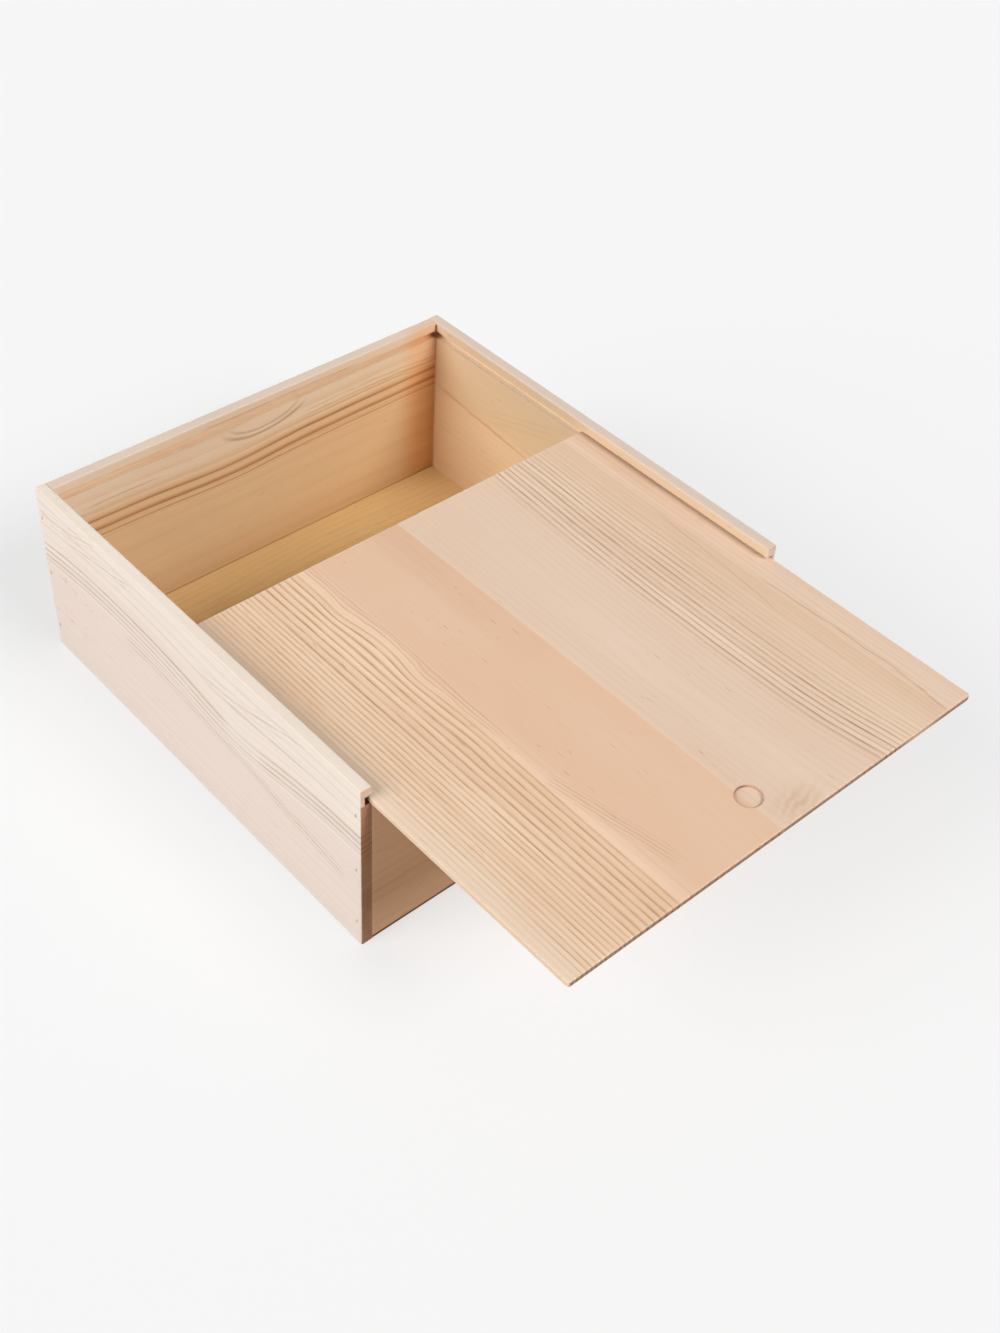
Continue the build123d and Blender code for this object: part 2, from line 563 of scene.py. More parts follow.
def addBump(shader, height, depth):
    bump = addNode("Bump", [height])
    feedNamed(bump.inputs, {"Strength": 1.0, "Distance": depth * mm, "Height": height})
    feed(shader.inputs["Normal"], bump.outputs[0])


def makePine(name, s, node):
    mat, nodes, shader = startMaterial(name)
    spot = nodes.new("ShaderNodeTexCoord").outputs
    turn = Euler((0, 0, math.radians(s["lean"]))).to_matrix() @ boardTurns[s["cut"]]
    heart = turn @ Vector(s["pith"])

    def inBoard(point):
        return turn @ Vector(point) - heart

    grain = toMillimetres(spot["Object"], -heart, turn.to_euler())
    for bend in s["bends"]:
        grain = useGroup(grainBend, Vector=grain, Centre=inBoard(bend["at"]),
                         Reach=bend["reach"] + throughBoard, Amount=bend["push"])["Vector"]
    rings = useGroup(growthRings, Vector=grain, Seed=s["seed"], **s["rings"])
    fibres = useGroup(woodFibres, Vector=grain, Seed=s["seed"])
    low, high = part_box(node)
    ends = useGroup(boardEnds, Normal=spot["Normal"], Grain=turn.row[0], Vector=spot["Object"],
                    Low=low, High=high)

    early, late = (colourRamp(rings["Radius"], s[wood]) for wood in ("early", "late"))
    early = tint(early, fibres["Mottle"], s["mottle"], s["blush"])
    early = blend(times(fibres["Streak"], s["streak"]), early, late)
    strength = swing(rings["RingTone"], 0.0, 1.0, s["faintRing"], 1.0, "LINEAR")
    strength = times(strength, swing(fibres["Patch"], *s["patchSpread"], 1.0 - s["patchy"], 1.0))
    strength = times(strength, swing(fibres["Dash"], 0.0, 1.0, 1.0 - s["broken"], 1.0))
    lines = times(rings["Late"], strength)
    colour = blend(lines, early, late)
    for oval in s["ovals"]:
        arcs = useGroup(ovalFigure, Vector=grain, Centre=inBoard(oval["at"]),
                        Reach=oval["reach"] + throughBoard)["Line"]
        colour = tint(colour, arcs, oval["share"], oval["tone"])
    for curl in s["feathers"]:
        frond = useGroup(featherFigure, Vector=grain, Centre=inBoard(curl["at"]),
                         Reach=curl["reach"] + throughBoard, Pitch=curl["pitch"])["Line"]
        colour = tint(colour, frond, curl["share"], curl["tone"])
    for b in s["bundles"]:
        path = [inBoard(point) for point in b["path"]]
        for start, end in zip(path, path[1:]):
            strand = useGroup(lineBundle, Vector=grain, From=start, To=end, Half=b["half"],
                              Pitch=b["pitch"], Width=b["width"], Ripple=b["ripple"])["Line"]
            share = swing(fibres["Dash"], 0.0, 1.0, s["bundleLow"] * b["share"], b["share"])
            colour = tint(colour, strand, share, b["tone"])
    colour = tint(colour, fibres["Fibre"], s["fibre"], s["fibreTone"], "MULTIPLY")
    colour = tint(colour, fibres["Fleck"], s["fleck"], s["fleckTone"])
    colour = tint(colour, ends["EndGrain"], s["endShare"], s["endTone"], "MULTIPLY")
    colour = tint(colour, times(ends["EndGrain"], lines), s["endLines"], s["endLineTone"])
    colour = tint(colour, ends["Edge"], s["edgeShare"], s["edgeTone"])
    # boxes of colour: stained places, and painted light and shade
    for tintBox in s["stainsAndShades"]:
        low, high = (Vector(tintBox[k]) * mm for k in ("low", "high"))
        mask = useGroup(softBox, Vector=spot["Object"], Low=low, High=high, Soft=tintBox["soft"] * mm)["Mask"]
        share = swing(fibres["Patch"], *s["tintBoxSpread"], s["tintBoxLow"] * tintBox["share"], tintBox["share"])
        colour = tint(colour, mask, share, tintBox["tone"], tintBox.get("kind", "MULTIPLY"))
    # rings of painted shade round hollows
    for mark in s["marks"]:
        line = useGroup(roundShade, Vector=spot["Object"], Centre=Vector(mark["at"]) * mm,
                        Radius=mark["radius"] * mm, Width=mark["width"] * mm)["Line"]
        colour = tint(colour, line, mark["share"], mark["tone"])
    dull = timesPlus(fibres["Fibre"], s["fibreRough"], s["rough"])
    dull = timesPlus(lines, s["lineRough"], dull)
    feedNamed(shader.inputs, {"Base Color": colour, "Roughness": dull, "Specular IOR Level": s["shine"]})
    addBump(shader, timesPlus(fibres["Fibre"], s["fibreRelief"], lines), s["relief"])
    return mat


# Sizes shared by the boards, in millimetres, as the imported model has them
boxSet = {
    "outer": 125.0,
    "inner": 119.0,
    "height": 100.0,
    "grooveLow": 90.5,
    "grooveHigh": 95.0,
    "grooveDepth": 3.6,
    "rebate": 122.0,
    "floorTop": 3.0,
    "frontTop": 90.2,
    "edgeEase": 0.7,
    "jointEase": 0.12,
    "cutPast": 5.0,  # how far cutters stand out of the wood
    "cutWide": 200.0,
}


# A grooved board, drawn as its end section and drawn out along its length
def groovedBoard(name, s, section, length):
    clearSelection()
    inside, outside, face = section  # its two faces, and where the section stands
    bpy.ops.mesh.primitive_plane_add(size=1, location=zero, rotation=(math.radians(90), 0, 0))
    board = bpy.context.object
    board.scale = (abs(outside - inside) * mm, s["grooveLow"] * mm, 1)
    board.location = ((inside + outside) / 2 * mm, face * mm, s["grooveLow"] / 2 * mm)
    settle(board, name)
    side = 1 if outside > inside else -1
    web = inside + side * s["grooveDepth"]
    enter("EDIT")
    cutAcross(web)
    pick("EDGE", lambda c, d: near(c.z, s["grooveLow"]) and side * (c.x - web) > 0)
    slideOut(0, 0, s["grooveHigh"] - s["grooveLow"])  # the web behind the groove
    slideOut(0, 0, s["height"] - s["grooveHigh"])
    pick("EDGE", lambda c, d: near(c.x, web) and c.z > s["grooveHigh"])
    slideOut(-side * s["grooveDepth"], 0, 0)  # the lip over the groove
    bpy.ops.mesh.select_all(action="SELECT")
    slideOut(0, length, 0)
    weld()
    bpy.ops.mesh.dissolve_limited(angle_limit=meshSet["flat"])
    enter("OBJECT")
    return board


# Brads: flat wire with a T head, modelled once and copied to each place
bradSet = {
    "y": 122.0,
    "rows": (14.0, 48.6, 83.2),
    "headOut": 124.9,  # the heads lie a little under the wood
    "headDeep": 0.8,
    "headSize": (1.0, 2.0),
    "wireHigh": 1.25,
    "tip": 106.9,
    "pointLong": 1.6,
    "pointShare": 0.35,  # of the wire's height, left at the chisel point
    "headEase": 0.12,
}


def makeBrad(name, side, headOut):
    s = bradSet
    wide, high = s["headSize"]
    neck = s["headOut"] - s["headDeep"]
    half = s["wireHigh"] / 2
    brad = startBlock(name, (s["tip"], -wide / 2, -half), (headOut, wide / 2, half))
    enter("EDIT")
    for x in (neck, s["tip"] + s["pointLong"]):
        cutAcross(x)
    for way in (-1, 1):  # the head stands out above and below the wire
        pick("FACE", lambda c, n: c.x > neck and way * n.z > meshSet["straight"])
        slideOut(0, 0, way * (high - s["wireHigh"]) / 2)
    pick("FACE", lambda c, n: n.x < -meshSet["straight"] and near(c.x, s["tip"]))
    bpy.ops.transform.resize(value=(1, 1, s["pointShare"]), center_override=(s["tip"] * mm, 0, 0))
    bpy.ops.mesh.select_all(action="SELECT")
    bpy.ops.mesh.dissolve_limited(angle_limit=meshSet["flat"])
    enter("OBJECT")
    if side < 0:
        bpy.ops.transform.rotate(value=math.pi, orient_axis="Z", center_override=zero)
        settle(brad, name)
    return brad


def bradRow(name, side, places, headOut):  # copies of one brad, joined
    first = makeBrad(name, side, headOut)
    if headOut == bradSet["headOut"]:
        ease(first, lambda c, d: near(c.x, side * headOut), bradSet["headEase"], 2)
    copies = [first]
    for _ in places[1:]:
        makeActive(first)
        bpy.ops.object.duplicate(linked=False)
        copies.append(bpy.context.object)
    for brad, (y, z) in zip(copies, places):
        makeActive(brad)
        bpy.ops.transform.translate(value=(0, y * mm, z * mm))
        settle(brad, brad.name)
    return joinAll(copies, name)


def bradPlaces(*depths):
    return [(y, z) for y in depths for z in bradSet["rows"]]


def bradHoles(board, depths, sides):
    for side in sides:
        carve(board, bradRow("bradCut", side, bradPlaces(*depths), boxSet["outer"] + boxSet["cutPast"]))


# Sides: grooved end to end for the lid, with a stopped rebate for the floor
def sideBoard(name, side):
    s = boxSet
    rim = side * s["inner"]
    board = groovedBoard(name, s, (rim, side * s["outer"], -s["outer"]), 2 * s["outer"])

    def outerEdges(c, d):
        return near(c.x, side * s["outer"]) or (near(c.x, rim) and near(c.z, s["height"]))

    ease(board, outerEdges, s["edgeEase"])
    carve(board, startBlock("rebateCut", (-s["rebate"], -s["rebate"], -s["cutPast"]),
                            (s["rebate"], s["rebate"], s["floorTop"])))
    ease(board, lambda c, d: near(c.x, rim) and near(c.z, s["floorTop"]) and along(d.y), s["jointEase"], 2)
    bradHoles(board, (-bradSet["y"], bradSet["y"]), (side,))
    return finishMesh(board)


leftSide = sideBoard("leftSide", -1)
rightSide = sideBoard("rightSide", 1)
print("sides shaped")


# Front and back walls, with way as -1 and 1: eased, rebated for the floor and holed for the brads
def trimWall(board, way, top):
    s = boxSet

    def onInside(c):
        return near(way * c.y, s["inner"])

    def longEdges(c, d):
        return along(d.x) and (near(way * c.y, s["outer"]) or (near(c.z, top) and onInside(c)))

    def jointEdges(c, d):
        end = along(d.z) and near(abs(c.x), s["inner"]) and (way < 0 or onInside(c))
        return end or (near(c.z, s["floorTop"]) and onInside(c))

    ease(board, longEdges, s["edgeEase"])
    low, high = sorted((0, way * s["rebate"]))
    carve(board, startBlock("rebateCut", (-s["cutWide"], low, -s["cutPast"]),
                            (s["cutWide"], high, s["floorTop"])))
    ease(board, jointEdges, s["jointEase"], 2)
    bradHoles(board, [way * bradSet["y"]], (-1, 1))
    return finishMesh(board)


# Back wall: drawn like a side, then turned to the back
def makeBackWall():
    s = boxSet
    board = groovedBoard("backWall", s, (s["inner"], s["outer"], -s["inner"]), 2 * s["inner"])
    makeActive(board)
    bpy.ops.transform.rotate(value=math.radians(-90), orient_axis="Z", center_override=zero)
    return trimWall(settle(board, "backWall"), 1, s["height"])


# Front wall: lower, so that the lid passes over it
def makeFrontWall():
    s = boxSet
    board = startBlock("frontWall", (-s["inner"], -s["outer"], 0), (s["inner"], -s["inner"], s["frontTop"]))
    return trimWall(board, -1, s["frontTop"])


backWall = makeBackWall()
frontWall = makeFrontWall()
print("walls shaped")

# Floor: one plywood sheet in the rebate
floorSet = {"half": 121.8, "thick": 3.0, "ease": 0.25}


def makeFloor(s):
    panel = startBlock("floorPanel", (-s["half"], -s["half"], 0), (s["half"], s["half"], s["thick"]))
    ease(panel, lambda c, d: True, s["ease"], 2)
    return finishMesh(panel)


floorPanel = makeFloor(floorSet)

# Lid: two boards glued edge to edge, with a round finger recess across the glue line
lidSet = {
    "left": -120.2,
    "right": 122.2,
    "joint": -1.0,
    "front": -243.0,
    "back": 4.1,
    "low": 90.65,
    "top": 93.65,
    "corner": 1.5,
    "ease": 0.4,
    "recess": dict(x=1.0, y=-222.0, across=12.5, deep=1.2, ease=0.15, sides=72, cutter=10.0, slack=0.02),
}


def makeLidBoard(name, edge):
    s, r = lidSet, lidSet["recess"]
    low, high = sorted((edge, s["joint"]))
    board = startBlock(name, (low, s["front"], s["low"]), (high, s["back"], s["top"]))

    def faceEdges(c, d):
        return (near(c.z, s["low"]) or near(c.z, s["top"])) and not near(c.x, s["joint"])

    def recessEdge(c, d):
        away = math.hypot(c.x - r["x"], c.y - r["y"])
        return near(c.z, s["top"]) and near(away, r["across"] / 2, r["slack"])

    ease(board, lambda c, d: along(d.z) and near(c.x, edge), s["corner"], 6)
    ease(board, faceEdges, s["ease"])
    clearSelection()
    place = [c * mm for c in (r["x"], r["y"], s["top"] - r["deep"] + r["cutter"] / 2)]
    bpy.ops.mesh.primitive_cylinder_add(vertices=r["sides"], radius=r["across"] / 2 * mm,
                                        depth=r["cutter"] * mm, location=place)
    carve(board, settle(bpy.context.object, "recessCut"))
    ease(board, recessEdge, r["ease"], 2)
    return finishMesh(board)


lidBoardLeft = makeLidBoard("lidBoardLeft", lidSet["left"])
lidBoardRight = makeLidBoard("lidBoardRight", lidSet["right"])
print("lid shaped")


def makeBrads(name, depth):
    rows = [bradRow(name + str(side), side, bradPlaces(depth), bradSet["headOut"]) for side in (-1, 1)]
    return finishMesh(joinAll(rows, name))


frontBrads = makeBrads("frontCornerBrads", -bradSet["y"])
backBrads = makeBrads("backCornerBrads", bradSet["y"])

# Finishes. A board's pith is a point on its heart line. Colours are red, green and blue from 0 to 255, and a
# ramp's stops each give millimetres from the pith and a colour
rimStain = dict(low=(-126, -126, 99.7), high=(126, 126, 101), soft=0.5, share=0.85, kind="MIX",
                tone=(217, 198, 184))

plainPine = {
    "lean": 0.0,  # degrees that the grain leans across the board's face
    "bends": [],
    "ovals": [],
    "feathers": [],
    "bundles": [],
    "bundleLow": 0.5,  # share left where a bundle's lines are faintest
    "stainsAndShades": [],
    "tintBoxLow": 0.7,  # and where a stained or painted-shade box is
    "tintBoxSpread": (0.2, 0.6),
    "marks": [],
    "mottle": 0.35,
    "blush": (231, 190, 164),
    "streak": 0.25,  # late wood drawn into the early wood
    "faintRing": 0.5,  # strength of the faintest ring
    "patchy": 0.3,  # how far the rings fade in places
    "patchSpread": (0.3, 0.6),
    "broken": 0.35,  # how far they break up into dashes
    "fibre": 0.4,
    "fibreTone": (244, 234, 224),
    "fleck": 0.5,
    "fleckTone": (164, 112, 70),
    "endShare": 0.85,
    "endTone": (198, 172, 146),
    "endLines": 0.3,
    "endLineTone": (84, 58, 44),
    "edgeShare": 0.25,
    "edgeTone": (240, 220, 198),
    "rough": 0.56,
    "fibreRough": 0.14,
    "lineRough": -0.12,
    "shine": 0.12,
    "relief": 0.01,  # millimetres
    "fibreRelief": 0.6,  # of the rings' own
}

# painted shade: a dark ring round the finger recess's rim, faint at its front
recessShadeRing = dict(at=(1, -222, 93.65), radius=6.25, width=0.55, share=0.4, tone=(160, 120, 86))

lidPine = {
    **plainPine,
    "cut": "lid",
    "marks": [recessShadeRing],
    "mottle": 0.5,
    "broken": 0.5,
    "endTone": (160, 140, 132),
}

lidLeftPine = {
    **lidPine,
    "pith": (-22, 0, 85),
    "seed": 1,
    "rings": dict(RingWidth=3.4, OuterWidth=2.5, ChangeRadius=64, Wander=0.9, Ripple=0.35, Uneven=0.35,
                  Sharp=1.6),
    "bends": [
        dict(at=(-60, -58, 93), reach=(18, 8), push=-1.8),
        dict(at=(-62, -30, 93), reach=(11, 6), push=1.3),
        dict(at=(-60, -84, 93), reach=(11, 6), push=1.2),
        dict(at=(-66, -128, 93), reach=(16, 7), push=-1),
    ],
    "bundles": [
        dict(path=[(-55, 6, 93.6), (-55, -60, 93.6), (-56, -130, 93.6)], half=5, pitch=2, width=0.6,
             ripple=1.2, share=0.6, tone=(198, 158, 124)),
        dict(path=[(-57, -164, 93.6), (-46, -226, 93.6)], half=5, pitch=1.8, width=0.5, ripple=0.6,
             share=0.6, tone=(198, 158, 124)),
    ],
    "stainsAndShades": [
        *(dict(low=(-10, y, 93), high=(-2, 5, 94), soft=18, share=0.14, tone=(238, 224, 214))
          for y in (-100, -66, -32)),
    ],
    "blush": (228, 188, 157),
    "faintRing": 0.72,
    "patchy": 0.25,
    "endLines": 0.9,
    "early": [
        (0, 230, 197, 170), (28, 229, 195, 168), (31, 234, 202, 175), (37, 242, 212, 186),
        (39.5, 244, 215, 186), (60, 246, 219, 191), (84, 244, 219, 193), (89, 241, 219, 195),
        (100, 238, 218, 195),
    ],
    "late": [
        (0, 229, 194, 166), (28, 228, 192, 165), (36, 226, 190, 162), (37, 239, 208, 180),
        (39.2, 238, 206, 176), (40.5, 194, 150, 110), (46, 184, 138, 95), (64, 184, 139, 97),
        (68, 195, 155, 117), (88, 194, 154, 116), (93, 222, 196, 168), (100, 230, 207, 182),
    ],
}

lidRightPine = {
    **lidPine,
    "pith": (24, 0, 85),
    "seed": 2,
    "rings": dict(RingWidth=3, OuterWidth=3, ChangeRadius=60, Wander=1.4, Ripple=0.4, Uneven=0.9, Sharp=1.6),
    "bends": [
        dict(at=(68, -262, 93), reach=(42, 26), push=-7),
        dict(at=(62, 30, 93), reach=(75, 40), push=-6),
    ],
    "feathers": [dict(at=(15, -237, 93.6), reach=(7, 10), pitch=4.5, share=0.42, tone=(190, 152, 114))],
    "bundles": [
        dict(path=[(107, -134, 93.6), (108.6, -174, 93.6), (108.8, -212, 93.6), (105.4, -244, 93.6)],
             half=2.2, pitch=3, width=1.1, ripple=1, share=0.6, tone=(186, 146, 106)),
        dict(path=[(103, -70, 93.6), (100, -116, 93.6), (96.4, -150, 93.6), (96, -200, 93.6)], half=2.4,
             pitch=2.4, width=0.7, ripple=0.6, share=0.5, tone=(188, 150, 114)),
    ],
    "stainsAndShades": [
        *(dict(low=(84, -250, 93), high=(91, y, 94), soft=12, share=0.22, kind="MIX", tone=(228, 200, 174))
          for y in (-115, -140, -165)),
        # a little darker near the right edge, from where the right lip begins to the back
        *(dict(low=(114, y, 93), high=(123, 5, 94), soft=6, share=0.16, tone=(232, 214, 198))
          for y in (-118, -84, -50)),
    ],
    "blush": (223, 193, 168),
    "faintRing": 0.55,
    "patchy": 0.35,
    "endLines": 0.7,
    "early": [
        (0, 232, 208, 187), (28, 231, 206, 185), (36, 240, 216, 194), (60, 239, 214, 190),
        (72, 228, 199, 173), (80, 225, 195, 168), (84, 233, 208, 187), (92, 232, 207, 186),
        (98, 227, 200, 175),
    ],
    "late": [
        (0, 228, 203, 181), (29, 222, 195, 172), (32, 188, 154, 122), (42, 168, 130, 95), (56, 168, 130, 95),
        (62, 186, 151, 118), (72, 214, 183, 155), (82, 219, 188, 160), (98, 224, 195, 168),
    ],
}

leftSidePine = {
    **plainPine,
    "cut": "side",
    "pith": (-117, 0, 22),
    "seed": 3,
    "rings": dict(RingWidth=3.4, OuterWidth=6, ChangeRadius=52, Wander=2, Ripple=0.6, Uneven=0.5,
                  Sharp=3.2),
    "bends": [
        dict(at=(-125, -35, 60), reach=(46, 26), push=9),
        dict(at=(-125, 140, 64), reach=(38, 26), push=6),
    ],
    "bundles": [
        dict(path=[(-125, 52, 54.7), (-125, -4, 56.6), (-125, -40, 55.5), (-125, -76, 44),
                   (-125, -112, 37.3)],
             half=4.4, pitch=3, width=0.7, ripple=0.7, share=0.75, tone=(176, 152, 134)),
        *(dict(path=path, half=4, pitch=3, width=0.9, ripple=0.8, share=0.5, tone=(196, 174, 155))
          for path in (
              [(-125, 120, 88.2), (-125, 96, 90.5), (-125, 74, 97)],
              [(-125, 98, 83.5), (-125, 62, 89), (-125, 44, 93)],
              [(-125, -12, 83.8), (-125, -50, 88.3), (-125, -84, 94.9)],
              [(-125, -30, 83.3), (-125, -58, 83.5), (-125, -88, 82.2)],
          )),
    ],
    "stainsAndShades": [
        dict(low=(-126, -126, 99.7), high=(-118, 126, 101), soft=0.5, share=0.7, kind="MIX",
             tone=(231, 216, 198)),
        # painted light: the lip's front end above the lid made paler, as where light falls
        dict(low=(-126, -126, 90.3), high=(-118, -124.9, 99), soft=0.5, share=0.8, kind="MIX",
             tone=(222, 197, 178)),
        # painted shade: the front end below the lid darkened, as in the lid's shadow
        dict(low=(-126, -126, -1), high=(-118, -124.9, 90.3), soft=0.3, share=1, tone=(220, 204, 194)),
        # painted shade: the inside of the groove's open front end made dark
        dict(low=(-122.65, -124.9, 90.4), high=(-118, -110, 95.1), soft=0.2, share=1.5, tone=(116, 55, 23)),
        dict(low=(-126, -50, 62), high=(-124, -32, 72), soft=9, share=0.6, kind="MIX",
             tone=(243, 232, 225)),
        # painted shade: a dark line along the foot of the outer face, where it meets the floor
        dict(low=(-126, -126, -1), high=(-124.2, 126, 0.35), soft=0.7, share=0.6, tone=(160, 130, 107)),
    ],
    "blush": (242, 227, 221),
    "faintRing": 0.6,
    "patchy": 0.4,
    "broken": 0.5,
    "endTone": (206, 164, 126),
    "endLines": 0.2,
    "endLineTone": (110, 71, 43),
    "early": [
        (0, 238, 226, 219), (34, 239, 227, 220), (40, 246, 237, 231), (50, 248, 240, 233),
        (80, 250, 243, 237),
    ],
    "late": [
        (0, 236, 221, 214), (38, 233, 217, 209), (42, 184, 160, 143), (51, 174, 149, 130),
        (55, 232, 218, 208), (60, 230, 216, 205), (80, 233, 219, 208),
    ],
}

rightSidePine = {
    **plainPine,
    "cut": "side",
    "pith": (130, 0, 2),
    "seed": 4,
    "rings": dict(RingWidth=5, OuterWidth=4, ChangeRadius=40, Wander=3, Ripple=0.4, Uneven=0.9, Sharp=1.6),
    "stainsAndShades": [
        rimStain,
        # painted light: the lip's front end above the lid made paler, as where light falls
        dict(low=(118, -126, 90.3), high=(126, -124.8, 99), soft=0.5, share=0.9, kind="MIX",
             tone=(230, 207, 198)),
        # painted light: the groove's floor made paler, where the lip's shade falls
        dict(low=(119.2, -126, 90.45), high=(122.7, 116, 90.6), soft=0.2, share=0.8, kind="MIX",
             tone=(252, 232, 206)),
        # painted shade: a narrow darkening of the inner face along the back corner
        dict(low=(118, 119, 2), high=(119.2, 126, 90), soft=2.6, share=0.35, tone=(226, 148, 78)),
        # painted shade: a broad, warm darkening of the inner face towards the back corner
        dict(low=(118, 114, 2), high=(119.2, 126, 86), soft=14, share=0.1, tone=(255, 204, 110)),
        # painted shade: dark where the grooves meet in the back corner, and a dark spot at the lip there
        dict(low=(118, 118.6, 90.4), high=(122.7, 126, 94.4), soft=1.6, share=0.5, tone=(196, 112, 46)),
        dict(low=(118.8, 118.4, 95), high=(119.3, 119.2, 98.6), soft=0.5, share=0.7, tone=(130, 84, 44)),
    ],
    "bundles": [
        dict(path=[(125, 113, 60.7), (125, 95, 58.8), (125, 66, 55.7), (125, 46, 54.2)], half=3, pitch=7,
             width=1.8, ripple=2.2, share=0.6, tone=(196, 148, 100)),
        dict(path=[(125, 46, 54.2), (125, -30, 49), (125, -125, 44)], half=9, pitch=4.6, width=1.3,
             ripple=2.6, share=0.35, tone=(196, 148, 100)),
        dict(path=[(125, 72, 65), (125, 28, 79)], half=6, pitch=3.4, width=1, ripple=2.4, share=0.25,
             tone=(200, 158, 108)),
        dict(path=[(125, -8, 84), (125, -60, 80), (125, -125, 82)], half=14, pitch=4.4, width=1.2,
             ripple=3, share=0.35, tone=(192, 148, 102)),
        dict(path=[(125, 52, 22), (125, 0, 28), (125, -60, 26), (125, -125, 20)], half=15, pitch=5.2,
             width=1.4, ripple=3.2, share=0.3, tone=(196, 150, 100)),
    ],
    "patchy": 0.6,
    "early": [
        (0, 241, 213, 174), (54, 238, 210, 171), (60, 226, 200, 160), (84, 225, 201, 165),
        (100, 226, 205, 176),
    ],
    "late": [(0, 236, 204, 163), (50, 235, 203, 162), (70, 226, 200, 162), (100, 225, 202, 172)],
}

backWallPine = {
    **plainPine,
    "cut": "wall",
    "pith": (0, 125, 103.4),
    "seed": 5,
    "rings": dict(RingWidth=7, OuterWidth=12, ChangeRadius=46, Wander=1.6, Ripple=0.6, Uneven=0.8, Sharp=1.6),
    "bends": [dict(at=(-20, 119, 70), reach=(34, 22), push=2.8)],
    "ovals": [dict(at=(4, 119, 94.2), reach=(30, 13.1), share=0.6, tone=(166, 124, 86))],
    "bundles": [
        dict(path=[(30, 119, 78), (75, 119, 79), (119, 119, 77)], half=5, pitch=2.4, width=0.7, ripple=1.2,
             share=0.45, tone=(186, 132, 84)),
        # painted shade: a thin dark line on the lip, just above the groove
        dict(path=[(-32, 119, 96.6), (64, 119, 95.8)], half=0.9, pitch=1.8, width=0.7, ripple=0.3, share=0.5,
             tone=(180, 120, 66)),
        dict(path=[(-104, 119, 80), (-62, 119, 80)], half=2.2, pitch=2.6, width=1, ripple=0.6, share=0.45,
             tone=(190, 140, 94)),
        dict(path=[(-112, 119, 60.6), (-20, 119, 60.6), (112, 119, 60.6)], half=4.6, pitch=2.1, width=0.5,
             ripple=0.9, share=0.4, tone=(192, 138, 86)),
    ],
    "stainsAndShades": [
        rimStain,
        # painted shade: the right wall's shadow on the inner face, broad and warm towards the right corner
        dict(low=(109, 118, 2), high=(126, 119.3, 92), soft=18, share=0.42, tone=(255, 184, 72)),
        # painted shade: dark where the grooves meet in the right corner, and a dark spot at the lip there
        dict(low=(118.8, 118, 90.4), high=(126, 126, 94.4), soft=1.6, share=0.5, tone=(196, 112, 46)),
        dict(low=(118.6, 118, 95), high=(119.2, 119.4, 98.6), soft=0.5, share=0.7, tone=(130, 84, 44)),
        # darker along the foot of the inner face, where it meets the floor
        dict(low=(-120, 118, 2), high=(120, 120, 3.2), soft=1.4, share=0.5, tone=(170, 112, 64)),
    ],
    "blush": (231, 188, 146),
    "patchy": 0.5,
    "early": [
        (0, 245, 224, 198), (24, 244, 223, 196), (29, 242, 216, 183), (31.6, 228, 184, 138),
        (32.8, 158, 88, 26), (33.2, 154, 84, 22), (33.8, 240, 208, 164), (36.8, 230, 188, 142),
        (38.7, 156, 86, 24), (39.2, 152, 82, 20), (39.9, 240, 207, 163), (41.9, 232, 195, 151),
        (43, 184, 128, 78), (43.6, 232, 198, 155), (60, 224, 191, 148), (110, 222, 189, 145),
    ],
    "late": [(0, 234, 207, 176), (30, 224, 188, 146), (46, 220, 186, 143), (110, 217, 183, 138)],
}

frontWallPine = {
    **plainPine,
    "cut": "wall",
    "pith": (0, -150, 10),
    "seed": 6,
    "lean": 1.2,
    "rings": dict(RingWidth=4, OuterWidth=5, ChangeRadius=40, Wander=3, Ripple=0.5, Uneven=0.9, Sharp=1.6),
    # painted shade: a dark line along the foot of the outer face, where it meets the floor
    "stainsAndShades": [dict(low=(-120, -126, -1), high=(120, -124, 1.2), soft=1.3, share=1.1, tone=(98, 64, 42))],
    "patchy": 0.8,
    "fleck": 0.7,
    "edgeShare": 0.12,
    "early": [(0, 238, 197, 162), (40, 239, 200, 166), (80, 239, 202, 169)],
    "late": [(0, 222, 175, 134), (32, 224, 179, 139), (40, 233, 193, 157), (80, 234, 196, 161)],
}


# Plywood: a rotary-cut face sheet, with the plies showing on the edges
plywoodSet = {
    "seed": 7.0,
    "shift": (0, 40, 130),  # millimetres from the log's heart to the middle of the sheet
    "rings": dict(RingWidth=3, OuterWidth=3, ChangeRadius=200, Wander=9, Ripple=1, Uneven=0.8, Sharp=1.6),
    "pale": (243, 211, 156),
    "dark": (229, 190, 129),
    "fibreTone": (240, 228, 214),
    "glue": (170, 122, 74),
    "late": 0.35,
    "mottle": 0.5,
    "fibre": 0.5,
    "fleck": 0.4,
    "ply": 1.0,
    "glueLine": 0.12,
    "edgeTurn": (0.3, 0.7),
    "rough": 0.52,
    "fibreRough": 0.15,
    "shine": 0.12,
    "relief": 0.03,
}


